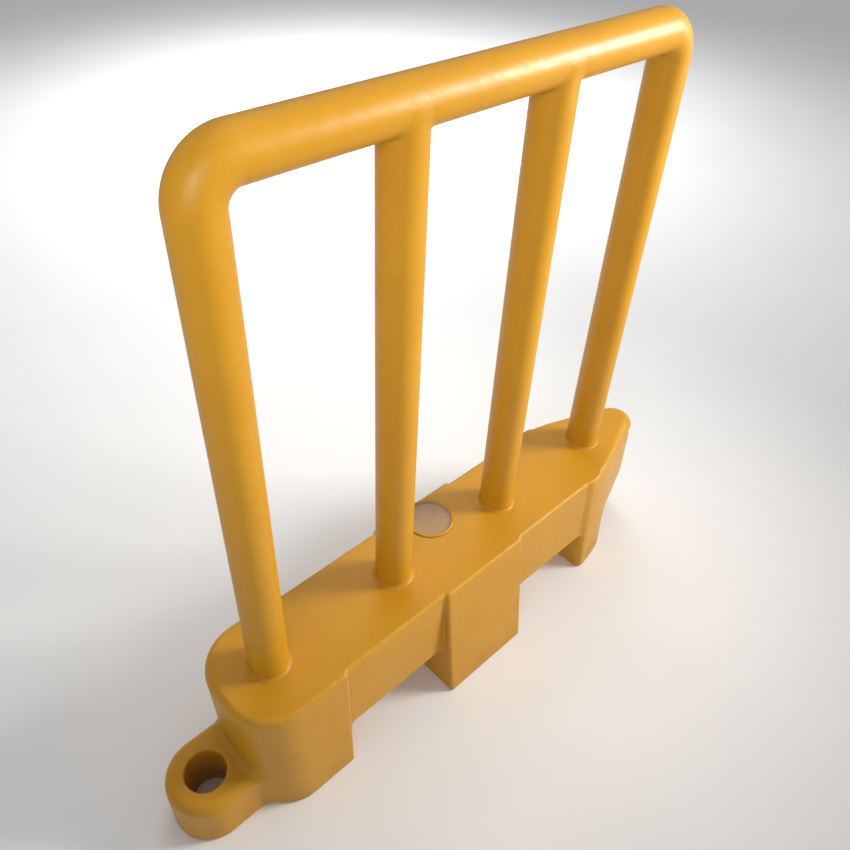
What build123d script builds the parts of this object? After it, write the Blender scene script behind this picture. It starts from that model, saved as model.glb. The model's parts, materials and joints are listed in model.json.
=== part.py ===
from build123d import *
import math
import os

# Crowd control barrier: a ballast base moulded in polyethylene with a tube guard standing on it.
#
# Row frame, millimetres: +X runs along the barrier from its eye end to its peg end, +Y is the side
# with the filler and the drain, +Z is up. The origin is on the ground under the middle of the overall
# length. Barriers link by dropping one barrier's peg into the next one's eye.
#
# Base and guard are one moulding. It is divided at plain sections of its wall, so that every stretch
# of tube and every section of the base is a solid of its own.

# Overall and linking sizes
BARRIER_H = 1000.0
LINK_PITCH = 975.0
EYE_LUG_R = 60.5
NOSE_UNDER_R = 37.2
LENGTH = EYE_LUG_R + LINK_PITCH + NOSE_UNDER_R
EYE_X = EYE_LUG_R - LENGTH / 2
PEG_X = EYE_X + LINK_PITCH

# Guard tubes
HOOP_R = 29.0
INNER_POST_R = 28.7
TUBE_WALL = 5.0
LOW_POST_X = EYE_X + 130.0
POST_STATIONS = (0.0, 240.7, 484.2, 730.5)
POST_XS = [LOW_POST_X + station for station in POST_STATIONS]
RAIL_Z = BARRIER_H - HOOP_R
BEND_R = 42.0
BRANCH_L = 12.0
ROOT_H = 2.0
ROOT_FILLET = 6.0

# Ballast base
BASE_H = 241.0
ARCH_H = 97.0
WALL = 5.5
FACE_HALF_W = 90.0
RECESS = 5.0
FLARE = 7.0
END_X = LOW_POST_X - 85.5
END_LEAN = 10.0
END_CORNER_R = 72.0
TAPER_X = LOW_POST_X + 679.0
TAPER_LEAN = 20.0
NOSE_R = 33.0
TOP_EDGE_R = 6.0
UPRIGHT_EDGE_R = 8.5
GROUND_EDGE_R = 3.0

# Feet, as face positions along X at the deck
LOW_FOOT_INNER_X = LOW_POST_X + 74.0
MID_FOOT_X = LOW_POST_X + 363.5
MID_FOOT_HALF_L = 88.5
MID_FOOT_SPLAY = 29.0
HIGH_FOOT_INNER_X = LOW_POST_X + 646.5
HIGH_FOOT_LEAN = 14.0
HIGH_FOOT_OUTER_X = LOW_POST_X + 743.0
LOW_SPLIT_X = (LOW_FOOT_INNER_X + MID_FOOT_X - MID_FOOT_HALF_L) / 2
HIGH_SPLIT_X = (MID_FOOT_X + MID_FOOT_HALF_L + HIGH_FOOT_INNER_X) / 2
FOOT_SPLIT_Z = ARCH_H - 1.0

# Eye lug at the low end
LUG_H = 93.0
LUG_EDGE_R = 15.0
EYE_R = 31.0
EYE_EDGE_R = 3.0
LUG_SPLIT_X = EYE_X + EYE_R + 4.0

# Nose and peg at the high end
PEG_R = 30.0
PEG_BOTTOM_Z = 38.0
PEG_EDGE_R = 8.0
NOSE_SPLIT_X = PEG_X - 55.0

# Filler in the deck and its push-in cap
FILLER_X = MID_FOOT_X + 1.5
FILLER_Y = 46.0
FILLER_BORE_R = 33.0
FILLER_SEAT_R = 38.4
FILLER_SEAT_DEPTH = 2.6
FILLER_RIM_R = 42.5
FILLER_RIM_H = 2.5
FILLER_RIM_EDGE_R = 2.0
FILLER_NECK_WALL = 4.0
FILLER_NECK_DEPTH = 27.0
CAP_R = 38.0
CAP_SKIRT_R = 32.4
CAP_SKIRT_WALL = 2.4
CAP_SKIRT_DEPTH = 22.0
CAP_RIB_R = FILLER_BORE_R - 0.05
CAP_RIB_H = 1.6
CAP_RIB_DROPS = (6.6, 15.4)
CAP_LIP_W = 2.4
CAP_LIP_H = 1.0

# Drain in the back of the middle foot
DRAIN_X = MID_FOOT_X
DRAIN_Z = 45.0
POCKET_R = 27.0
POCKET_FLOOR_Y = 99.0
BUSH_R = 14.0
BUSH_L = 17.0
BUSH_FLANGE_R = 18.0
BUSH_FLANGE_T = 4.0
DRAIN_BORE_R = 10.0
PLUG_SHANK_R = DRAIN_BORE_R - 0.05
PLUG_SHANK_L = 15.0
SEAL_T = 2.0
SEAL_INNER_R = 10.3
SEAL_OUTER_R = 15.0
PLUG_FLANGE_R = 16.5
PLUG_FLANGE_T = 2.5
PLUG_HEX_AF = 27.0
PLUG_HEX_H = 8.5
PLUG_SOCKET_AF = 14.0
AXIAL_GAP = 0.1

# Cutters run this far past the faces that they cut
OVERRUN = 1.0
NEAR = 0.01


def lean(z):
    """How far down from the deck a height is, from 0 at the deck to 1 at the ground."""
    return 1.0 - z / BASE_H


def face_half_w(z):
    """Half width over the outer faces of the end feet."""
    return FACE_HALF_W + FLARE * lean(z)


def level(outline, z):
    return Pos(0, 0, z) * outline


def prism(outline, low_z, high_z):
    """A leaning prism: outline(z) gives the plan at any height."""
    return loft([level(outline(low_z), low_z), level(outline(high_z), high_z)], ruled=True)


def cylinder_z(x, y, radius, low_z, high_z):
    return Pos(x, y, (low_z + high_z) / 2) * Cylinder(radius, high_z - low_z)


def cylinder_y(x, z, radius, low_y, high_y):
    return Pos(x, (low_y + high_y) / 2, z) * Rot(90, 0, 0) * Cylinder(radius, high_y - low_y)


def slab(low, high, axis):
    """Everything between two planes across one axis."""
    reach = 4 * BARRIER_H
    size = [high - low if i == axis else reach for i in range(3)]
    centre = [(low + high) / 2 if i == axis else 0.0 for i in range(3)]
    return Pos(*centre) * Box(*size)


def edges_at(shape, z):
    """Edges lying flat at one height."""
    return shape.edges().filter_by_position(Axis.Z, z - NEAR, z + NEAR)


def upright_edges(shape, low_z, high_z):
    """Straight edges that run from one height to the other."""
    spans = []
    for edge in shape.edges():
        box = edge.bounding_box()
        if box.min.Z < low_z + NEAR and box.max.Z > high_z - NEAR:
            spans.append(edge)
    return spans


# The outside of the base, each piece shrunk by `inset` on every face when it is used as its cavity


def span_body(inset):
    """Recessed box between the feet, above the arches."""
    def outline(z):
        half = face_half_w(z) - RECESS - inset
        return Pos((LOW_POST_X + TAPER_X) / 2, 0) * Rectangle(TAPER_X - LOW_POST_X, 2 * half)
    body = prism(outline, ARCH_H + inset, BASE_H - inset)
    if inset == 0:
        body = fillet(edges_at(body, BASE_H).filter_by(Axis.X), TOP_EDGE_R)
        body = fillet(edges_at(body, ARCH_H).filter_by(Axis.X), GROUND_EDGE_R)
    return body


def low_foot(inset):
    """Foot and wall under the round end."""
    def outline(z):
        end_x = END_X + END_LEAN * lean(z) + inset
        inner_x = LOW_FOOT_INNER_X - inset
        plan = Rectangle(inner_x - end_x, 2 * (face_half_w(z) - inset))
        plan = fillet(plan.vertices().sort_by(Axis.X)[:2], END_CORNER_R - inset)
        return Pos((end_x + inner_x) / 2, 0) * plan
    foot = prism(outline, inset, BASE_H - inset)
    if inset == 0:
        inner = [e for e in upright_edges(foot, 0, BASE_H) if e.center().X > LOW_FOOT_INNER_X - NEAR]
        foot = fillet(inner, UPRIGHT_EDGE_R)
        rim = [e for e in edges_at(foot, BASE_H) if e.center().X < LOW_FOOT_INNER_X - NEAR]
        foot = fillet(rim, TOP_EDGE_R)
        foot = fillet(edges_at(foot, 0), GROUND_EDGE_R)
    return foot


def mid_foot(inset):
    """Middle foot, splayed across the barrier."""
    def outline(z):
        half_w = FACE_HALF_W + MID_FOOT_SPLAY * lean(z) - inset
        return Pos(MID_FOOT_X, 0) * Rectangle(2 * (MID_FOOT_HALF_L - inset), 2 * half_w)
    foot = prism(outline, inset, BASE_H - inset)
    if inset == 0:
        foot = fillet(upright_edges(foot, 0, BASE_H), UPRIGHT_EDGE_R)
        foot = fillet(edges_at(foot, BASE_H), TOP_EDGE_R)
        foot = fillet(edges_at(foot, 0), GROUND_EDGE_R)
    return foot


def high_foot_inner(z):
    return HIGH_FOOT_INNER_X + HIGH_FOOT_LEAN * lean(z)


def taper_outline(z, inset):
    """Plan of the high end: parallel sides, then straight tapers that touch the round nose."""
    half_w = face_half_w(z) - inset
    nose_r = NOSE_R + (NOSE_UNDER_R - NOSE_R) * lean(z) / lean(ARCH_H) - inset
    corner_x = TAPER_X + TAPER_LEAN * lean(z)
    back_x = high_foot_inner(z) + inset
    run = PEG_X - corner_x
    angle = math.atan2(half_w, run) - math.asin(nose_r / math.hypot(half_w, run))
    touch_x = PEG_X + nose_r * math.sin(angle)
    touch_y = nose_r * math.cos(angle)
    sides = [(touch_x, -touch_y), (corner_x, -half_w), (back_x, -half_w),
             (back_x, half_w), (corner_x, half_w), (touch_x, touch_y)]
    return make_face(Polyline(*sides) + ThreePointArc(sides[-1], (PEG_X + nose_r, 0), sides[0]))


def high_end(inset):
    """Foot under the start of the taper, with the beam that overhangs it up to the nose."""
    def outline(z):
        return taper_outline(z, inset)
    end = prism(outline, inset, BASE_H - inset)
    if inset == 0:
        rim = [e for e in edges_at(end, BASE_H) if e.center().X > HIGH_FOOT_INNER_X + NEAR]
        end = fillet(rim, TOP_EDGE_R)
        end = fillet(edges_at(end, 0), GROUND_EDGE_R)
    low_x, top_z = HIGH_FOOT_OUTER_X - inset, ARCH_H + inset
    clearance = Box(LENGTH, LENGTH, 2 * top_z, align=(Align.MIN, Align.CENTER, Align.CENTER))
    return end - Pos(low_x, 0, 0) * clearance


def eye_lug(inset):
    """U-shaped lug that carries the eye."""
    radius = EYE_LUG_R - inset
    run = LOW_POST_X - EYE_X
    lug = cylinder_z(EYE_X, 0, radius, inset, LUG_H - inset)
    lug += Pos(EYE_X + run / 2, 0, LUG_H / 2) * Box(run, 2 * radius, LUG_H - 2 * inset)
    if inset == 0:
        rim = [e for e in edges_at(lug, LUG_H) if e.center().X < LOW_POST_X - NEAR]
        lug = fillet(rim, LUG_EDGE_R)
    return lug


def peg(inset):
    """Round peg that hangs from the nose."""
    body = cylinder_z(PEG_X, 0, PEG_R - inset, PEG_BOTTOM_Z + inset, ARCH_H + 2 * WALL)
    if inset == 0:
        body = fillet(edges_at(body, PEG_BOTTOM_Z), PEG_EDGE_R)
    return body


def post_radius(i):
    return HOOP_R if i in (0, len(POST_XS) - 1) else INNER_POST_R


def post_root(i):
    """Root of a post, faired into the deck."""
    disc = cylinder_z(POST_XS[i], 0, post_radius(i) + ROOT_FILLET + OVERRUN, BASE_H - WALL, BASE_H)
    root = disc + cylinder_z(POST_XS[i], 0, post_radius(i), BASE_H - WALL, BASE_H + 2 * ROOT_FILLET)
    crease = [e for e in edges_at(root, BASE_H) if abs(e.radius - post_radius(i)) < NEAR]
    return fillet(crease, ROOT_FILLET)


def base_moulding():
    """The whole hollow base, up to the roots of the posts, before it is divided."""
    parts = [span_body, low_foot, mid_foot, high_end, eye_lug, peg]
    outside = parts[0](0)
    cavity = parts[0](WALL)
    for part in parts[1:]:
        outside += part(0)
        cavity += part(WALL)
    rim = cylinder_z(FILLER_X, FILLER_Y, FILLER_RIM_R, BASE_H - WALL, BASE_H + FILLER_RIM_H)
    outside += fillet(edges_at(rim, BASE_H + FILLER_RIM_H), FILLER_RIM_EDGE_R)
    for i in range(len(POST_XS)):
        outside += post_root(i) & slab(0, BASE_H + ROOT_H, 2)

    cavity -= cylinder_z(EYE_X, 0, EYE_R + WALL, 0, LUG_H)
    cavity -= cylinder_z(FILLER_X, FILLER_Y, FILLER_BORE_R + FILLER_NECK_WALL,
                         BASE_H - FILLER_NECK_DEPTH, BASE_H)
    cavity -= cylinder_y(DRAIN_X, DRAIN_Z, POCKET_R + WALL, POCKET_FLOOR_Y - WALL,
                         FACE_HALF_W + MID_FOOT_SPLAY)

    moulding = outside - cavity
    moulding -= cylinder_z(EYE_X, 0, EYE_R, -OVERRUN, LUG_H + OVERRUN)
    moulding -= cylinder_y(DRAIN_X, DRAIN_Z, POCKET_R, POCKET_FLOOR_Y, 2 * FACE_HALF_W)
    moulding -= cylinder_y(DRAIN_X, DRAIN_Z, BUSH_R, 0, POCKET_FLOOR_Y + OVERRUN)
    above = BASE_H + 2 * FILLER_RIM_H
    moulding -= cylinder_z(FILLER_X, FILLER_Y, FILLER_BORE_R, BASE_H - FILLER_NECK_DEPTH - OVERRUN, above)
    moulding -= cylinder_z(FILLER_X, FILLER_Y, FILLER_SEAT_R, BASE_H - FILLER_SEAT_DEPTH, above)
    for i, x in enumerate(POST_XS):
        bore_r = post_radius(i) - TUBE_WALL
        moulding -= cylinder_z(x, 0, bore_r, BASE_H - 2 * WALL, BASE_H + ROOT_H + OVERRUN)
    mouth = [e for e in edges_at(moulding, LUG_H) if e.geom_type == GeomType.CIRCLE]
    mouth = [e for e in mouth if abs(e.radius - EYE_R) < NEAR]
    return fillet(mouth, EYE_EDGE_R)


def base_nodes():
    """The base in eight solids: its eye, three sections of the tank, a foot under each, and the nose."""
    moulding = base_moulding()
    names = ["eye_lug", "low_base_section", "middle_base_section", "high_base_section", "peg_nose"]
    planes = [-LENGTH, LUG_SPLIT_X, LOW_SPLIT_X, HIGH_SPLIT_X, NOSE_SPLIT_X, LENGTH]
    nodes = {name: moulding & slab(planes[i], planes[i + 1], 0) for i, name in enumerate(names)}
    for end in ("low", "middle", "high"):
        section = nodes[f"{end}_base_section"]
        nodes[f"{end}_foot"] = section & slab(-OVERRUN, FOOT_SPLIT_Z, 2)
        nodes[f"{end}_base_section"] = section & slab(FOOT_SPLIT_Z, BARRIER_H, 2)
    return nodes


# The guard


def guard_posts():
    """Straight posts, from their roots on the deck to the bends and the rail's branches."""
    names = ["low_end_post", "low_inner_post", "high_inner_post", "high_end_post"]
    nodes = {}
    for i, name in enumerate(names):
        inner = post_radius(i) == INNER_POST_R
        top_z = RAIL_Z - HOOP_R - BRANCH_L if inner else RAIL_Z - BEND_R
        bar = post_root(i) + cylinder_z(POST_XS[i], 0, post_radius(i), BASE_H, top_z)
        bore = cylinder_z(POST_XS[i], 0, post_radius(i) - TUBE_WALL, 0, BARRIER_H)
        nodes[name] = (bar & slab(BASE_H + ROOT_H, top_z, 2)) - bore
    return nodes


def rail_core(shrink):
    """Rail, its two bends and the branches for the inner posts, as one round bar."""
    radius = HOOP_R - shrink
    low, high = POST_XS[0] + BEND_R, POST_XS[-1] - BEND_R
    bar = Pos((low + high) / 2, 0, RAIL_Z) * Rot(0, 90, 0) * Cylinder(radius, high - low)
    section = Plane((low, 0, RAIL_Z), x_dir=(0, 1, 0), z_dir=(-1, 0, 0)) * Circle(radius)
    bar += revolve(section, Axis((low, 0, RAIL_Z - BEND_R), (0, -1, 0)), 90)
    section = Plane((high, 0, RAIL_Z), x_dir=(0, 1, 0), z_dir=(1, 0, 0)) * Circle(radius)
    bar += revolve(section, Axis((high, 0, RAIL_Z - BEND_R), (0, 1, 0)), 90)
    for i in (1, 2):
        bar += cylinder_z(POST_XS[i], 0, INNER_POST_R - shrink, RAIL_Z - HOOP_R - BRANCH_L, RAIL_Z)
    return bar


def top_rail():
    return rail_core(0) - rail_core(TUBE_WALL)


# The filler cap and the drain


def filler_cap():
    """Push-in cap: a thin disc with a lip, over a hollow skirt with two gripping ribs."""
    seat_z = BASE_H - FILLER_SEAT_DEPTH
    disc = cylinder_z(FILLER_X, FILLER_Y, CAP_R, seat_z, BASE_H)
    lip = cylinder_z(FILLER_X, FILLER_Y, CAP_R, BASE_H, BASE_H + CAP_LIP_H)
    lip -= cylinder_z(FILLER_X, FILLER_Y, CAP_R - CAP_LIP_W, BASE_H, BASE_H + CAP_LIP_H)
    cap = disc + lip
    cap += cylinder_z(FILLER_X, FILLER_Y, CAP_SKIRT_R, seat_z - CAP_SKIRT_DEPTH, seat_z)
    for drop in CAP_RIB_DROPS:
        cap += cylinder_z(FILLER_X, FILLER_Y, CAP_RIB_R, seat_z - drop - CAP_RIB_H, seat_z - drop)
    return cap - cylinder_z(FILLER_X, FILLER_Y, CAP_SKIRT_R - CAP_SKIRT_WALL,
                            seat_z - CAP_SKIRT_DEPTH - OVERRUN, seat_z)


def drain_bush():
    """Moulded-in threaded bush, drawn smooth at the thread's inner size."""
    bush = cylinder_y(DRAIN_X, DRAIN_Z, BUSH_R, POCKET_FLOOR_Y - BUSH_L, POCKET_FLOOR_Y)
    flange_y = POCKET_FLOOR_Y - WALL
    bush += cylinder_y(DRAIN_X, DRAIN_Z, BUSH_FLANGE_R, flange_y - BUSH_FLANGE_T, flange_y)
    return bush - cylinder_y(DRAIN_X, DRAIN_Z, DRAIN_BORE_R, 0, POCKET_FLOOR_Y + OVERRUN)


def drain_seal():
    """Flat sealing washer carried under the plug's flange."""
    outer = cylinder_y(DRAIN_X, DRAIN_Z, SEAL_OUTER_R, POCKET_FLOOR_Y, POCKET_FLOOR_Y + SEAL_T)
    return outer - cylinder_y(DRAIN_X, DRAIN_Z, SEAL_INNER_R, POCKET_FLOOR_Y, POCKET_FLOOR_Y + SEAL_T)


def drain_plug():
    """Screw plug with a flange, a hexagon head and a hexagon socket."""
    seat_y = POCKET_FLOOR_Y + SEAL_T + AXIAL_GAP
    plug = cylinder_y(DRAIN_X, DRAIN_Z, PLUG_SHANK_R, seat_y - PLUG_SHANK_L, seat_y)
    plug += cylinder_y(DRAIN_X, DRAIN_Z, PLUG_FLANGE_R, seat_y, seat_y + PLUG_FLANGE_T)
    head_plane = Plane((DRAIN_X, seat_y, DRAIN_Z), x_dir=(1, 0, 0), z_dir=(0, 1, 0))
    head = extrude(head_plane * RegularPolygon(PLUG_HEX_AF / 2, 6, major_radius=False), PLUG_HEX_H)
    socket = extrude(head_plane * RegularPolygon(PLUG_SOCKET_AF / 2, 6, major_radius=False), PLUG_HEX_H)
    return plug + (head - Pos(0, PLUG_FLANGE_T, 0) * socket)


def main():
    os.makedirs("parts", exist_ok=True)
    nodes = {**base_nodes(), **guard_posts()}
    nodes["top_rail"] = top_rail()
    nodes["filler_cap"] = filler_cap()
    nodes["drain_bush"] = drain_bush()
    nodes["drain_seal"] = drain_seal()
    nodes["drain_plug"] = drain_plug()
    for name, shape in nodes.items():
        export_step(shape, f"parts/{name}.step")


main()
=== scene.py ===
import json
import math

import bmesh
import bpy
import numpy as np
from mathutils import Matrix, Vector


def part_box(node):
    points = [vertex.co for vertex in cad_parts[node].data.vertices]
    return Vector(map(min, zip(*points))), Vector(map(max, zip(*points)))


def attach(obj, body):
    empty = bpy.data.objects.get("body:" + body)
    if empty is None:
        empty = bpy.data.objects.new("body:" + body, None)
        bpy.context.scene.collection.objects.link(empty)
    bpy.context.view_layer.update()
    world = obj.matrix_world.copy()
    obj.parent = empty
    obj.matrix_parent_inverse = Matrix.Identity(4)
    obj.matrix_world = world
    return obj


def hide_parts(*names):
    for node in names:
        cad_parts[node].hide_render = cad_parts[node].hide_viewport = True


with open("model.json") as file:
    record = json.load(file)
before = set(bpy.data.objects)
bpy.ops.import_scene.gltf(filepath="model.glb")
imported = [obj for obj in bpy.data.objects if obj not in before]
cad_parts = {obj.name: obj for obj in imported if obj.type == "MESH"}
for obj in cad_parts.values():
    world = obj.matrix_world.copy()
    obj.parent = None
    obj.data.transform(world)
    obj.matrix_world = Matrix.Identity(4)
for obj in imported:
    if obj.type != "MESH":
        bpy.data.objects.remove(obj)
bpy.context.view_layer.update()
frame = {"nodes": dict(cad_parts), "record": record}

mm = 0.001

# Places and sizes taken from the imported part, in metres
mounts = {m["name"]: m for m in frame["record"]["mounts"]}
EYE_X = mounts["link_eye"]["pos_m"][0]
EYE_R = mounts["link_eye"]["dims"]["r_mm"] * mm
PEG_X = mounts["link_peg"]["pos_m"][0]
PEG_R = mounts["link_peg"]["dims"]["r_mm"] * mm
MID_FOOT_X = mounts["ground_face"]["pos_m"][0]
RAIL_LOW, RAIL_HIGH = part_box("top_rail")
RAIL_R = (RAIL_HIGH.y - RAIL_LOW.y) / 2
RAIL_Z = RAIL_HIGH.z - RAIL_R
CAP_LOW, CAP_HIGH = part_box("filler_cap")
FILLER_X, FILLER_Y = (CAP_LOW.x + CAP_HIGH.x) / 2, (CAP_LOW.y + CAP_HIGH.y) / 2
BUSH_LOW, BUSH_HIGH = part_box("drain_bush")
DRAIN_X, DRAIN_Z = (BUSH_LOW.x + BUSH_HIGH.x) / 2, (BUSH_LOW.z + BUSH_HIGH.z) / 2
POCKET_FLOOR_Y = BUSH_HIGH.y
LUG_SPLIT_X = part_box("eye_lug")[1].x
LOW_SPLIT_X, HIGH_SPLIT_X = (corner.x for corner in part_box("middle_base_section"))
NOSE_SPLIT_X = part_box("peg_nose")[0].x
FOOT_SPLIT_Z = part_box("low_foot")[1].z
LUG_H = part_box("eye_lug")[1].z
EYE_LUG_R = EYE_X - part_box("eye_lug")[0].x
NOSE_UNDER_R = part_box("peg_nose")[1].x - PEG_X
ROOT_TOP_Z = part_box("low_end_post")[0].z
BRANCH_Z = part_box("low_inner_post")[1].z
POST_NAMES = ["low_end_post", "low_inner_post", "high_inner_post", "high_end_post"]
POST_XS = [(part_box(n)[0].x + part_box(n)[1].x) / 2 for n in POST_NAMES]
HOOP_R = RAIL_R
INNER_POST_R = RAIL_R - 0.3 * mm
POST_RS = [HOOP_R, INNER_POST_R, INNER_POST_R, HOOP_R]

# The rest of the moulding's shape
LOW_POST_X = POST_XS[0]
BASE_H = ROOT_TOP_Z - 2 * mm
ARCH_H = 97 * mm
FACE_HALF_W = 90 * mm
RECESS = 5 * mm
FLARE = 7 * mm
HIGH_FLARE = 10 * mm
END_X = LOW_POST_X - 85.5 * mm
END_LEAN = 10 * mm
TAPER_X = LOW_POST_X + 679 * mm
TAPER_LEAN = 20 * mm
LOW_FOOT_INNER_X = LOW_POST_X + 74 * mm
MID_FOOT_HALF_L = 88.5 * mm
MID_FOOT_SPLAY = 29 * mm
HIGH_FOOT_INNER_X = LOW_POST_X + 646.5 * mm
HIGH_FOOT_LEAN = 10 * mm
HIGH_FOOT_OUTER_X = LOW_POST_X + 743 * mm
NOSE_R = 33 * mm
NOSE_FLARE = (NOSE_UNDER_R - NOSE_R) / (1 - ARCH_H / BASE_H)
GROOVE_Z = 207 * mm
GROOVE_DEPTH = 3 * mm
GROOVE_HALF_H = 6 * mm
PEG_BOTTOM_Z = 38 * mm
BEND_R = 42 * mm

# Edge and corner radii
TOP_EDGE_XS = [LOW_POST_X + x * mm for x in (-86, 0, 644, 689, 753, 840, 878)]
TOP_EDGE_RS = [r * mm for r in (14, 6, 6, 10, 13, 18, 26)]
END_CORNER_R = 72 * mm
TAPER_CORNER_R = 20 * mm
HIGH_STEP_R = 14 * mm
HIGH_STEP_CORNER_R = 10 * mm
UPRIGHT_EDGE_R = 4 * mm
GROUND_EDGE_R = 4 * mm
CORNER_R = 3 * mm
ARCH_CORNER_R = 7 * mm
LUG_EDGE_R = 15 * mm
LUG_CORNER_R = 12 * mm
EYE_EDGE_R = 4 * mm
HIGH_CORNER_R = 22 * mm
ROOT_CORNER_R = 6 * mm
BRANCH_CORNER_R = 4 * mm
PEG_EDGE_R = 8 * mm

# Filler and drain
COLLAR_R = 42.5 * mm
COLLAR_H = 2.5 * mm
COLLAR_EDGE_R = 1.9 * mm
COLLAR_ROOT = 5 * mm
SEAT_R = 38.4 * mm
SEAT_DEPTH = 2.6 * mm
SEAT_EDGE_R = 1.2 * mm
BORE_R = 33 * mm
BORE_EDGE_R = 1 * mm
NECK_DEPTH = 27 * mm
NECK_WALL = 4 * mm
WELL_R = COLLAR_R - 1.5 * mm
WELL_DEPTH = 1.2 * NECK_DEPTH
POCKET_R = 27 * mm
POCKET_EDGE_R = 1.5 * mm

# Grids that the moulded skins are drawn from: the step, and the room left round each shape. The
# fractions of a step keep grid planes off the outermost faces.
VOXEL = 3 * mm
END_ROOM = 2.3 * VOXEL
SIDE_ROOM = 2.4 * VOXEL
ROOM_ABOVE_ROOTS = 4.2 * VOXEL
ROOM_BELOW_BRANCHES = 3.6 * VOXEL
BASE_GRID_HALF_W = 125 * mm

# Rings of points up a post: close together over its flared root, then evenly spaced
ROOT_RING_STEP = 0.5 * mm
ROOT_RINGS = 9
POST_RINGS = 24


# Signed distances: negative inside. Rounded joins keep the two surfaces elsewhere as they are.


def both(a, b, radius):
    """Where a and b overlap, with the edge between them rounded."""
    outside = np.hypot(np.maximum(a + radius, 0), np.maximum(b + radius, 0))
    return np.minimum(-radius, np.maximum(a, b)) + outside


def either(a, b, radius):
    """a and b together, with the corner between them filled."""
    inside = np.hypot(np.maximum(radius - a, 0), np.maximum(radius - b, 0))
    return np.maximum(radius, np.minimum(a, b)) - inside


def lean(z):
    """How far down from the deck a height is, from 0 at the deck to 1 at the ground."""
    return 1 - z / BASE_H


def face_half_w(z):
    """Half width over the outer faces of the low foot."""
    return FACE_HALF_W + FLARE * lean(z)


def round_end(x, y, centre_x):
    """Distance from a centre line that starts at centre_x and runs on in +X."""
    return np.hypot(np.minimum(x - centre_x, 0), y)


def low_foot(x, y, z):
    plan = both(END_X + END_LEAN * lean(z) - x, abs(y) - face_half_w(z), END_CORNER_R)
    return both(plan, x - LOW_FOOT_INNER_X, UPRIGHT_EDGE_R)


def mid_foot(x, y, z):
    ends = abs(x - MID_FOOT_X) - MID_FOOT_HALF_L
    sides = abs(y) - FACE_HALF_W - MID_FOOT_SPLAY * lean(z)
    return both(ends, sides, UPRIGHT_EDGE_R)


def high_end(x, y, z):
    """Parallel sides, straight tapers and a round nose, cut away below the overhang."""
    half_w = FACE_HALF_W + HIGH_FLARE * lean(z)
    nose_r = NOSE_R + NOSE_FLARE * lean(z)
    run = PEG_X - TAPER_X - TAPER_LEAN * lean(z)
    angle = np.arctan2(half_w, run) - np.arcsin(nose_r / np.hypot(half_w, run))
    across, along = np.sin(angle), np.cos(angle)
    past_nose = (x - PEG_X) * along - abs(y) * across > 0
    taper = (x - PEG_X) * across + abs(y) * along
    nose = np.where(past_nose, np.hypot(x - PEG_X, y), taper) - nose_r
    plan = both(nose, abs(y) - half_w, TAPER_CORNER_R)
    inner_x = HIGH_FOOT_INNER_X + HIGH_FOOT_LEAN * lean(z)
    plan = both(plan, inner_x - x, HIGH_STEP_R)
    clearance = both(HIGH_FOOT_OUTER_X - x, z - ARCH_H, HIGH_CORNER_R)
    return both(plan, -clearance, GROUND_EDGE_R)


def span(x, y, z):
    ends = abs(x - (LOW_POST_X + TAPER_X) / 2) - (TAPER_X - LOW_POST_X) / 2
    plan = np.maximum(ends, abs(y) - face_half_w(z) + RECESS)
    return both(plan, ARCH_H - z, GROUND_EDGE_R)


def eye_lug(x, y, z):
    side = round_end(x, y, EYE_X) - EYE_LUG_R
    return np.maximum(both(side, z - LUG_H, LUG_EDGE_R), x - LOW_POST_X)


def nose_groove(x, y, z):
    """Depth of the shallow groove under the nose's round head."""
    near = np.clip((1.6 * NOSE_R - np.hypot(x - PEG_X, y)) / (0.4 * NOSE_R), 0, 1)
    return GROOVE_DEPTH * near * np.exp(-((z - GROOVE_Z) / GROOVE_HALF_H) ** 2)


def peg(x, y, z):
    side = np.hypot(x - PEG_X, y) - PEG_R
    return np.maximum(both(side, PEG_BOTTOM_Z - z, PEG_EDGE_R), z - BASE_H / 2)


def base_outside(x, y, z):
    """The base without the openings in it, up to the roots of the posts."""
    body = either(low_foot(x, y, z), mid_foot(x, y, z), CORNER_R)
    body = either(body, span(x, y, z), CORNER_R + (ARCH_CORNER_R - CORNER_R) * (z < ARCH_H + RECESS))
    body = either(body, high_end(x, y, z), HIGH_STEP_CORNER_R) + nose_groove(x, y, z)
    body = both(body, z - BASE_H, np.interp(x, TOP_EDGE_XS, TOP_EDGE_RS))
    body = either(body, peg(x, y, z), GROUND_EDGE_R)
    body = either(body, eye_lug(x, y, z), LUG_CORNER_R)
    body = both(body, -z, GROUND_EDGE_R)
    for post_x, post_r in zip(POST_XS, POST_RS):
        root = np.maximum(np.hypot(x - post_x, y) - post_r, BASE_H - 4 * ROOT_CORNER_R - z)
        body = either(body, root, ROOT_CORNER_R)
    return body


def base_field(x, y, z):
    """The base with its eye, the drain's pocket and a well for the filler."""
    body = base_outside(x, y, z)
    body = both(body, EYE_R - np.hypot(x - EYE_X, y), EYE_EDGE_R)
    pocket = np.maximum(np.hypot(x - DRAIN_X, z - DRAIN_Z) - POCKET_R, POCKET_FLOOR_Y - y)
    body = both(body, -pocket, POCKET_EDGE_R)
    well = np.maximum(np.hypot(x - FILLER_X, y - FILLER_Y) - WELL_R, BASE_H - WELL_DEPTH - z)
    return np.maximum(body, -well)


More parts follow.
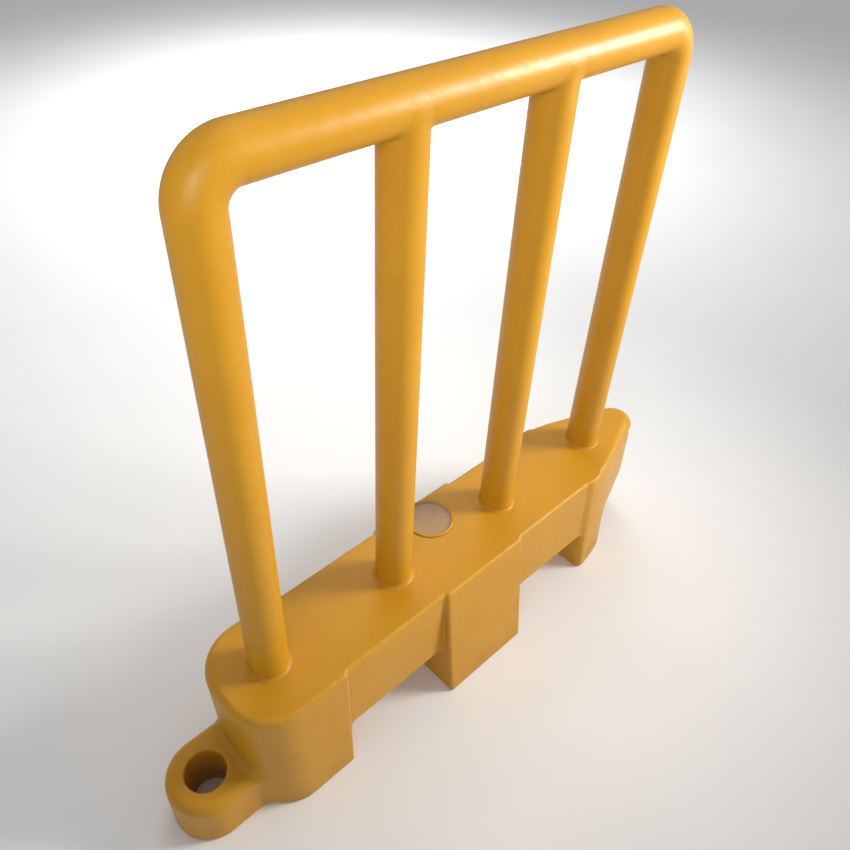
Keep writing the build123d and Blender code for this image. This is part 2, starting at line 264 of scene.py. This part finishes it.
def guard_field(x, y, z):
    """Rail with its two bends, and the branches for the inner posts."""
    half_l = (POST_XS[-1] - POST_XS[0]) / 2
    out_x = abs(x - (POST_XS[0] + POST_XS[-1]) / 2) - half_l + BEND_R
    out_z = z - RAIL_Z + BEND_R
    ring = np.hypot(np.maximum(out_x, 0), np.maximum(out_z, 0)) - BEND_R
    ring = np.where((out_x < 0) & (out_z < 0), np.maximum(out_x, out_z) - BEND_R, ring)
    guard = np.hypot(ring, y) - HOOP_R
    for post_x in POST_XS[1:-1]:
        branch = np.maximum(np.hypot(x - post_x, y) - INNER_POST_R, z - RAIL_Z)
        guard = either(guard, branch, BRANCH_CORNER_R)
    return guard


# Surfaces from fields


def gradient(field, points):
    step = 0.05 * mm
    x, y, z = points.T
    slopes = [
        field(x + step, y, z) - field(x - step, y, z),
        field(x, y + step, z) - field(x, y - step, z),
        field(x, y, z + step) - field(x, y, z - step),
    ]
    return np.stack(slopes, -1) / (2 * step)


def settle(field, points, rounds=4):
    """Moves points along the field's slope onto its surface."""
    for _ in range(rounds):
        slope = gradient(field, points)
        steep = np.maximum((slope ** 2).sum(-1), 0.2)
        points = points - slope * (field(*points.T) / steep)[:, None]
    return points


def unit(vectors):
    return vectors / np.maximum(np.linalg.norm(vectors, axis=-1), 1e-12)[:, None]


def surface(field, low, high, step):
    """Surface nets: one point in each cell that the surface crosses, one face round each crossed edge."""
    counts = [int(math.ceil((h - l) / step)) + 1 for l, h in zip(low, high)]
    lines = [l + step * np.arange(n) for l, n in zip(low, counts)]
    values = field(*np.meshgrid(*lines, indexing="ij"))
    inside = values < 0
    cells = tuple(n - 1 for n in counts)
    hits, total = np.zeros(cells), np.zeros(cells + (3,))
    corner = [slice(0, -1), slice(1, None)]
    crossed_edges = []
    for axis in range(3):
        a = [slice(None)] * 3
        b = [slice(None)] * 3
        a[axis], b[axis] = corner
        va, vb = values[tuple(a)], values[tuple(b)]
        crossed = inside[tuple(a)] != inside[tuple(b)]
        crossed_edges.append(crossed)
        share = np.where(crossed, va / np.where(crossed, va - vb, 1), 0)
        others = [i for i in range(3) if i != axis]
        for i in (0, 1):
            for j in (0, 1):
                part = [slice(None)] * 3
                part[others[0]] = corner[i]
                part[others[1]] = corner[j]
                part = tuple(part)
                hits += crossed[part]
                total[..., axis] += share[part]
                total[..., others[0]] += crossed[part] * i
                total[..., others[1]] += crossed[part] * j
    active = hits > 0
    index = np.full(cells, -1)
    index[active] = np.arange(active.sum())
    offset = total[active] / hits[active][:, None]
    points = np.array(low) + step * (np.argwhere(active) + offset)
    faces = []
    for axis in range(3):
        others = [i for i in range(3) if i != axis]
        inner = [slice(None)] * 3
        inner[others[0]] = inner[others[1]] = slice(1, -1)
        at = np.argwhere(crossed_edges[axis][tuple(inner)])
        at[:, others] += 1
        ring = []
        for i, j in ((1, 1), (0, 1), (0, 0), (1, 0)):
            cell = at.copy()
            cell[:, others[0]] -= i
            cell[:, others[1]] -= j
            ring.append(index[tuple(cell.T)])
        quads = np.stack(ring, -1)
        flip = inside[tuple(at.T)] == (axis != 1)
        quads[~flip] = quads[~flip][:, ::-1]
        faces.append(quads)
    return points, np.concatenate(faces)


def build_mesh(name, points, faces):
    mesh = bpy.data.meshes.new(name)
    mesh.from_pydata([tuple(p) for p in points], [], [tuple(int(i) for i in f) for f in faces])
    mesh.update()
    return mesh


def cut(mesh, axis, low, high):
    """The part of a closed mesh between two planes, closed again with flat faces."""
    bm = bmesh.new()
    bm.from_mesh(mesh)
    normal = Vector([1.0 if i == axis else 0.0 for i in range(3)])
    for place, sign in ((low, -1), (high, 1)):
        if place is None:
            continue
        everything = bm.verts[:] + bm.edges[:] + bm.faces[:]
        bmesh.ops.bisect_plane(bm, geom=everything, dist=1e-7, plane_co=normal * place,
                               plane_no=normal * sign, clear_outer=True)
        rim = [e for e in bm.edges if e.is_boundary]
        made = bmesh.ops.triangle_fill(bm, use_beauty=True, use_dissolve=False, edges=rim,
                                       normal=normal * sign)
        for face in made["geom"]:
            if isinstance(face, bmesh.types.BMFace):
                face.material_index = 1
    result = bpy.data.meshes.new(mesh.name)
    bm.to_mesh(result)
    bm.free()
    return result


def shade(mesh, field):
    """Smooth shading that follows the field, and plain shading on the flat cut faces."""
    points = np.array([v.co for v in mesh.vertices])
    normals = unit(gradient(field, points))
    loops = np.zeros(len(mesh.loops), int)
    mesh.loops.foreach_get("vertex_index", loops)
    loop_normals = normals[loops]
    for face in mesh.polygons:
        face.use_smooth = True
        if face.material_index == 1:
            face.material_index = 0
            for i in face.loop_indices:
                loop_normals[i] = face.normal
    mesh.normals_split_custom_set([tuple(n) for n in loop_normals])


def curvature(mesh, field):
    """How sharply the surface turns out (+) or in (-), as a point attribute for the edge wear with its
    painted highlight, and for the painted crease shade with grime.
    """
    points = np.array([v.co for v in mesh.vertices])
    reach = 2.5 * mm
    bend = -6 * field(*points.T)
    for i in range(3):
        for sign in (-1, 1):
            shifted = points.copy()
            shifted[:, i] += sign * reach
            bend = bend + field(*shifted.T)
    bend = bend / reach ** 2 * 10 * mm
    attribute = mesh.attributes.new("bend", "FLOAT", "POINT")
    attribute.data.foreach_set("value", np.clip(bend, -3, 3).astype(np.float32))


def show(name, mesh, body, slot, material, *nodes):
    mesh.name = name
    piece = bpy.data.objects.new(name, mesh)
    bpy.context.scene.collection.objects.link(piece)
    mesh.materials.clear()
    mesh.materials.append(material)
    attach(piece, body)
    if nodes:
        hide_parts(*nodes)


def moulded_piece(name, whole, field, axis, low, high, material):
    """A stretch of a moulding, standing for the node of that name."""
    mesh = cut(whole, axis, low, high)
    shade(mesh, field)
    curvature(mesh, field)
    show(name + "_skin", mesh, "base", "moulded_yellow", material, name)


def lathe(profile, segments=96):
    """Turned shape: profile is (radius, height) points from the axis out and back, closed about +Z."""
    points, faces, rings = [], [], []
    for radius, height in profile:
        if radius < 1e-9:
            rings.append([len(points)])
            points.append((0.0, 0.0, height))
            continue
        rings.append(list(range(len(points), len(points) + segments)))
        for i in range(segments):
            turn = 2 * math.pi * i / segments
            points.append((radius * math.cos(turn), radius * math.sin(turn), height))
    for a, b in zip(rings, rings[1:]):
        for i in range(segments):
            j = (i + 1) % segments
            if len(a) == 1 and len(b) == 1:
                continue
            if len(a) == 1:
                faces.append((a[0], b[j], b[i]))
            elif len(b) == 1:
                faces.append((a[i], a[j], b[0]))
            else:
                faces.append((a[i], a[j], b[j], b[i]))
    return build_mesh("lathe", points, faces)


def arc(centre, radius, start, end, steps=6):
    """Points of a round stretch of a profile; angles in degrees."""
    turns = [math.radians(start + (end - start) * i / steps) for i in range(steps + 1)]
    return [(centre[0] + radius * math.cos(t), centre[1] + radius * math.sin(t)) for t in turns]


def outward(mesh):
    """Faces turned outwards, and edges over 35 degrees kept crisp."""
    bm = bmesh.new()
    bm.from_mesh(mesh)
    bmesh.ops.remove_doubles(bm, verts=bm.verts, dist=1e-7)
    bmesh.ops.recalc_face_normals(bm, faces=bm.faces)
    for face in bm.faces:
        face.smooth = True
    for edge in bm.edges:
        edge.smooth = edge.calc_face_angle(0) < math.radians(35)
    bm.to_mesh(mesh)
    bm.free()
    return mesh


# Materials

YELLOW_DARKER = (0.555, 0.258, 0.007)
YELLOW_LIGHTER = (0.59, 0.288, 0.010)
YELLOW_FLECK = (0.52, 0.237, 0.006)
YELLOW_RUBBED_AND_HIGHLIT = (0.65, 0.35, 0.042)
YELLOW_SCRATCHED = (0.72, 0.43, 0.10)
CREASE_SHADE_AND_GRIME = (0.31, 0.14, 0.014)
MUD = (0.32, 0.19, 0.07)
MUD_TOP_Z = 60 * mm
SCRATCH_STRETCH = (35, 420, 420)
SCRATCH_TURN = (0.2, 0.35, 0.5)


class Nodes:
    """A small helper for writing a material's node tree."""

    def __init__(self, name):
        self.material = bpy.data.materials.new(name)
        self.material.use_nodes = True
        self.tree = self.material.node_tree
        self.shader = self.tree.nodes["Principled BSDF"]
        self.place = self.add("ShaderNodeTexCoord").outputs["Object"]

    def add(self, kind, **settings):
        node = self.tree.nodes.new(kind)
        for key, value in settings.items():
            setattr(node, key, value)
        return node

    def feed(self, socket, value):
        if isinstance(value, bpy.types.NodeSocket):
            self.tree.links.new(value, socket)
        else:
            socket.default_value = value

    def noise(self, scale, detail=3.0, roughness=0.5, distortion=0.0):
        node = self.add("ShaderNodeTexNoise")
        self.feed(node.inputs["Vector"], self.place)
        node.inputs["Scale"].default_value = scale
        node.inputs["Detail"].default_value = detail
        node.inputs["Roughness"].default_value = roughness
        node.inputs["Distortion"].default_value = distortion
        return node.outputs["Fac"]

    def spread(self, value, low, high, to_low=0.0, to_high=1.0):
        node = self.add("ShaderNodeMapRange")
        self.feed(node.inputs["Value"], value)
        node.inputs["From Min"].default_value = low
        node.inputs["From Max"].default_value = high
        node.inputs["To Min"].default_value = to_low
        node.inputs["To Max"].default_value = to_high
        return node.outputs["Result"]

    def maths(self, operation, a, b=0.0, c=0.0):
        node = self.add("ShaderNodeMath", operation=operation)
        for socket, value in zip(node.inputs, (a, b, c)):
            self.feed(socket, value)
        return node.outputs["Value"]

    def mix(self, share, a, b):
        node = self.add("ShaderNodeMix", data_type="RGBA")
        self.feed(node.inputs["Factor"], share)
        for socket, value in zip(node.inputs[6:8], (a, b)):
            self.feed(socket, value if isinstance(value, bpy.types.NodeSocket) else (*value, 1.0))
        return node.outputs[2]

    def bump(self, height, distance, strength=1.0, after=None):
        node = self.add("ShaderNodeBump")
        self.feed(node.inputs["Height"], height)
        node.inputs["Distance"].default_value = distance
        node.inputs["Strength"].default_value = strength
        if after is not None:
            self.feed(node.inputs["Normal"], after)
        return node.outputs["Normal"]

    def finish(self, color=None, roughness=None, normal=None, **plain):
        for name, value in (("Base Color", color), ("Roughness", roughness), ("Normal", normal)):
            if value is not None:
                self.feed(self.shader.inputs[name], value)
        for name, value in plain.items():
            self.shader.inputs[name.replace("_", " ")].default_value = value
        return self.material


def scratch_lines(n):
    """Where the fine scratches are: thin stretched lines, in patches."""
    stretch = n.add("ShaderNodeMapping")
    n.feed(stretch.inputs["Vector"], n.place)
    stretch.inputs["Scale"].default_value = SCRATCH_STRETCH
    stretch.inputs["Rotation"].default_value = SCRATCH_TURN
    scratch = n.add("ShaderNodeTexNoise")
    n.feed(scratch.inputs["Vector"], stretch.outputs["Vector"])
    scratch.inputs["Scale"].default_value = 1.0
    lines = n.spread(scratch.outputs["Fac"], 0.68, 0.74)
    return n.maths("MULTIPLY", lines, n.spread(n.noise(12, 2, 0.5), 0.52, 0.66))


def moulded_yellow():
    """Rotationally moulded polyethylene: satin, faintly mottled, rubbed pale on edges with a painted
    highlight there, painted shade and grime in the creases, with scuffs.
    """
    n = Nodes("moulded_yellow")
    cloud = n.spread(n.noise(9, 4, 0.55), 0.3, 0.7)
    fleck = n.spread(n.noise(160, 3, 0.6), 0.35, 0.65)
    color = n.mix(cloud, YELLOW_DARKER, YELLOW_LIGHTER)
    color = n.mix(n.maths("MULTIPLY", fleck, 0.25), color, YELLOW_FLECK)
    bend = n.add("ShaderNodeAttribute", attribute_name="bend").outputs["Fac"]
    # Convex edges turn paler: rubbed wear, and also a painted highlight along the edges.
    edge = n.maths("MULTIPLY", n.spread(bend, 0.35, 1.6), n.spread(n.noise(55, 5, 0.7), 0.42, 0.62))
    color = n.mix(n.maths("MULTIPLY", edge, 0.45), color, YELLOW_RUBBED_AND_HIGHLIT)
    # Concave creases turn darker: painted shade where parts meet, together with some grime.
    crease_shade_and_grime = n.maths("MULTIPLY", n.spread(bend, -0.2, -1.2), n.spread(n.noise(30, 4, 0.6), 0.35, 0.7))
    color = n.mix(n.maths("MULTIPLY", crease_shade_and_grime, 0.35), color, CREASE_SHADE_AND_GRIME)
    height = n.add("ShaderNodeSeparateXYZ")
    n.feed(height.inputs["Vector"], n.place)
    low = n.spread(height.outputs["Z"], MUD_TOP_Z, 0.0)
    mud = n.maths("MULTIPLY", low, n.spread(n.noise(26, 6, 0.65), 0.40, 0.72))
    color = n.mix(n.maths("MULTIPLY", mud, 0.5), color, MUD)
    rough = n.spread(n.noise(70, 4, 0.6), 0.3, 0.7, 0.36, 0.50)
    rough = n.maths("ADD", rough, n.maths("MULTIPLY", edge, 0.10))
    rough = n.maths("ADD", rough, n.maths("MULTIPLY", mud, 0.25))
    normal = n.bump(n.noise(28, 2, 0.4), 1.2 * mm, 0.5)
    normal = n.bump(n.noise(420, 2, 0.5), 0.10 * mm, 0.8, normal)
    lines = scratch_lines(n)
    normal = n.bump(n.maths("MULTIPLY", lines, -1.0), 0.12 * mm, 0.7, normal)
    color = n.mix(n.maths("MULTIPLY", lines, 0.25), color, YELLOW_SCRATCHED)
    return n.finish(color, rough, normal, Specular_IOR_Level=0.4)


def natural_cap():
    """Milky unpigmented polyethylene that the yellow behind shines through."""
    n = Nodes("natural_cap")
    cloud = n.spread(n.noise(45, 4, 0.55), 0.3, 0.7)
    color = n.mix(cloud, (0.37, 0.21, 0.09), (0.43, 0.265, 0.13))
    fine = n.spread(n.noise(380, 2, 0.5), 0.3, 0.7)
    color = n.mix(n.maths("MULTIPLY", fine, 0.2), color, (0.33, 0.18, 0.07))
    rough = n.spread(n.noise(120, 3, 0.5), 0.3, 0.7, 0.34, 0.46)
    normal = n.bump(n.noise(300, 2, 0.5), 0.08 * mm, 0.8)
    return n.finish(color, rough, normal, Subsurface_Weight=0.15, Subsurface_Scale=0.004)


def brass_insert():
    n = Nodes("brass_insert")
    cloud = n.spread(n.noise(220, 4, 0.6), 0.35, 0.65)
    color = n.mix(cloud, (0.55, 0.36, 0.12), (0.72, 0.52, 0.22))
    rough = n.spread(n.noise(500, 3, 0.6), 0.3, 0.7, 0.26, 0.42)
    normal = n.bump(n.noise(900, 2, 0.5), 0.03 * mm, 0.6)
    return n.finish(color, rough, normal, Metallic=1.0)


def seal_rubber():
    n = Nodes("seal_rubber")
    dust = n.spread(n.noise(300, 4, 0.6), 0.45, 0.7)
    color = n.mix(dust, (0.018, 0.018, 0.018), (0.06, 0.055, 0.05))
    rough = n.spread(n.noise(240, 3, 0.6), 0.3, 0.7, 0.62, 0.80)
    normal = n.bump(n.noise(1100, 2, 0.5), 0.05 * mm, 0.7)
    return n.finish(color, rough, normal)


def dark_plug():
    n = Nodes("dark_plug")
    dust = n.spread(n.noise(160, 5, 0.65), 0.45, 0.75)
    color = n.mix(dust, (0.014, 0.014, 0.016), (0.055, 0.05, 0.045))
    rough = n.spread(n.noise(300, 3, 0.6), 0.3, 0.7, 0.34, 0.52)
    normal = n.bump(n.noise(700, 2, 0.5), 0.06 * mm, 0.7)
    return n.finish(color, rough, normal)


yellow = moulded_yellow()

# The base, cut where the CAD divides it


def net(name, field, low, high):
    """A field's surface as a mesh."""
    points, faces = surface(field, low, high, VOXEL)
    return build_mesh(name, settle(field, points), faces)


base_low = (EYE_X - EYE_LUG_R - END_ROOM, -BASE_GRID_HALF_W, -SIDE_ROOM)
base_high = (PEG_X + NOSE_UNDER_R + END_ROOM, BASE_GRID_HALF_W, ROOT_TOP_Z + ROOM_ABOVE_ROOTS)
whole_base = cut(net("base", base_field, base_low, base_high), 2, None, ROOT_TOP_Z)
moulded_piece("eye_lug", whole_base, base_field, 0, None, LUG_SPLIT_X, yellow)
moulded_piece("peg_nose", whole_base, base_field, 0, NOSE_SPLIT_X, None, yellow)
split_xs = [LUG_SPLIT_X, LOW_SPLIT_X, HIGH_SPLIT_X, NOSE_SPLIT_X]
for end, low_x, high_x in zip(("low", "middle", "high"), split_xs, split_xs[1:]):
    section = cut(whole_base, 0, low_x, high_x)
    moulded_piece(end + "_foot", section, base_field, 2, None, FOOT_SPLIT_Z, yellow)
    moulded_piece(end + "_base_section", section, base_field, 2, FOOT_SPLIT_Z, None, yellow)

# The guard

rail_low = (POST_XS[0] - RAIL_R - END_ROOM, -RAIL_R - SIDE_ROOM, BRANCH_Z - ROOM_BELOW_BRANCHES)
rail_high = (POST_XS[-1] + RAIL_R + END_ROOM, RAIL_R + SIDE_ROOM, RAIL_Z + RAIL_R + END_ROOM)
whole_rail = net("rail", guard_field, rail_low, rail_high)
moulded_piece("top_rail", whole_rail, guard_field, 2, BRANCH_Z, None, yellow)


def post_mesh(post_x, post_r):
    """A post, from its flared root on the deck up to the rail."""
    heights = [ROOT_TOP_Z + i * ROOT_RING_STEP for i in range(ROOT_RINGS)]
    root_z = heights[-1]
    heights += [root_z + (BRANCH_Z - root_z) * i / POST_RINGS for i in range(1, POST_RINGS + 1)]
    profile = [(0, ROOT_TOP_Z)]
    for z in heights:
        gap = max(ROOT_CORNER_R - (z - BASE_H), 0)
        flare = ROOT_CORNER_R - math.sqrt(ROOT_CORNER_R ** 2 - gap ** 2)
        profile.append((post_r + flare, z))
    profile.append((0, BRANCH_Z))
    mesh = lathe(profile)
    mesh.transform(Matrix.Translation((post_x, 0, 0)))
    return outward(mesh)


for name, post_x, post_r in zip(POST_NAMES, POST_XS, POST_RS):
    show(name + "_skin", post_mesh(post_x, post_r), "base", "moulded_yellow", yellow, name)

# The filler


def filler_collar():
    """Raised rim round the filler, its seat for the cap, and the neck below."""
    top = BASE_H + COLLAR_H
    seat = BASE_H - SEAT_DEPTH
    root = BASE_H - COLLAR_ROOT
    neck_end = BASE_H - NECK_DEPTH
    profile = [(COLLAR_R, root), (COLLAR_R, BASE_H)]
    profile += arc((COLLAR_R - COLLAR_EDGE_R, top - COLLAR_EDGE_R), COLLAR_EDGE_R, 0, 90)
    profile += arc((SEAT_R + SEAT_EDGE_R, top - SEAT_EDGE_R), SEAT_EDGE_R, 90, 180)
    profile += [(SEAT_R, seat), (BORE_R + BORE_EDGE_R, seat)]
    profile += arc((BORE_R + BORE_EDGE_R, seat - BORE_EDGE_R), BORE_EDGE_R, 90, 180, 3)
    profile += [(BORE_R, neck_end), (BORE_R + NECK_WALL, neck_end)]
    profile += [(BORE_R + NECK_WALL, root), (COLLAR_R, root)]
    mesh = lathe(profile, 128)
    mesh.transform(Matrix.Translation((FILLER_X, FILLER_Y, 0)))
    return outward(mesh)


show("filler_collar", filler_collar(), "base", "moulded_yellow", yellow)

for node_name, make in (("filler_cap", natural_cap), ("drain_bush", brass_insert),
                        ("drain_seal", seal_rubber), ("drain_plug", dark_plug)):
    slots = frame["nodes"][node_name].data.materials
    slots.clear()
    slots.append(make())

# Camera, light and floor

CAMERA_PLACE = Vector((-0.62106, -0.55133, 1.20391))
CAMERA_YAW, CAMERA_PITCH, CAMERA_ROLL = 0.72421, 0.68443, 0.00339
CAMERA_LENS, SENSOR_W = 31.567, 36
CAMERA_SHIFT_X, CAMERA_SHIFT_Y = 0.05199, -0.02330
FLOOR_REACH = 14.0
WORLD_STRENGTH = 0.42
WARM, SLIGHTLY_WARM, WHITE = (1.0, 0.97, 0.92), (1.0, 0.98, 0.95), (1.0, 1.0, 1.0)


def photo_camera():
    forward = Vector((math.sin(CAMERA_YAW) * math.cos(CAMERA_PITCH),
                      math.cos(CAMERA_YAW) * math.cos(CAMERA_PITCH), -math.sin(CAMERA_PITCH)))
    right = Vector((math.cos(CAMERA_YAW), -math.sin(CAMERA_YAW), 0))
    up = right.cross(forward)
    rolled_right = right * math.cos(CAMERA_ROLL) + up * math.sin(CAMERA_ROLL)
    rolled_up = up * math.cos(CAMERA_ROLL) - right * math.sin(CAMERA_ROLL)
    data = bpy.data.cameras.new("camera")
    data.sensor_width = SENSOR_W
    data.lens = CAMERA_LENS
    data.shift_x = CAMERA_SHIFT_X
    data.shift_y = CAMERA_SHIFT_Y
    data.clip_start = 0.01
    camera = bpy.data.objects.new("camera", data)
    turn = Matrix((rolled_right, rolled_up, -forward)).transposed()
    camera.matrix_world = Matrix.Translation(CAMERA_PLACE) @ turn.to_4x4()
    bpy.context.scene.collection.objects.link(camera)
    bpy.context.scene.camera = camera


def softbox(name, place, target, size, spread, power, color):
    data = bpy.data.lights.new(name, "AREA")
    data.shape = "DISK"
    data.size = size
    data.spread = math.radians(spread)
    data.energy = power
    data.color = color
    lamp = bpy.data.objects.new(name, data)
    lamp.location = place
    lamp.rotation_mode = "QUATERNION"
    lamp.rotation_quaternion = (Vector(target) - Vector(place)).to_track_quat("-Z", "Y")
    bpy.context.scene.collection.objects.link(lamp)


def floor_material():
    n = Nodes("pale_floor")
    color = n.mix(n.spread(n.noise(1.5, 3, 0.5), 0.3, 0.7), (0.92, 0.92, 0.92), (0.95, 0.95, 0.95))
    return n.finish(color, 0.85)


def pale_floor():
    corners = [(x * FLOOR_REACH, y * FLOOR_REACH, 0) for x, y in ((-1, -1), (1, -1), (1, 1), (-1, 1))]
    floor = bpy.data.objects.new("floor", build_mesh("floor", corners, [(0, 1, 2, 3)]))
    floor.data.materials.append(floor_material())
    bpy.context.scene.collection.objects.link(floor)


photo_camera()
pale_floor()
softbox("key_light", (1.7, -1.2, 1.35), (0.25, 0.0, 0.8), size=0.8, spread=65, power=10, color=WARM)
softbox("side_light", (-1.2, -0.9, 1.5), (-0.1, 0.0, 0.95), size=0.7, spread=60, power=1.8, color=WARM)
softbox("top_light", (0.3, 0.2, 3.1), (0.0, 0.0, 0.0), size=1.2, spread=150, power=2.5, color=SLIGHTLY_WARM)
softbox("back_light", (1.9, 2.6, 2.6), (1.7, 2.3, 0.0), size=2.6, spread=100, power=42, color=WHITE)
world = bpy.data.worlds.new("studio")
world.use_nodes = True
background = world.node_tree.nodes["Background"]
background.inputs["Color"].default_value = (*WHITE, 1.0)
background.inputs["Strength"].default_value = WORLD_STRENGTH
bpy.context.scene.world = world
bpy.context.scene.view_settings.view_transform = "Standard"
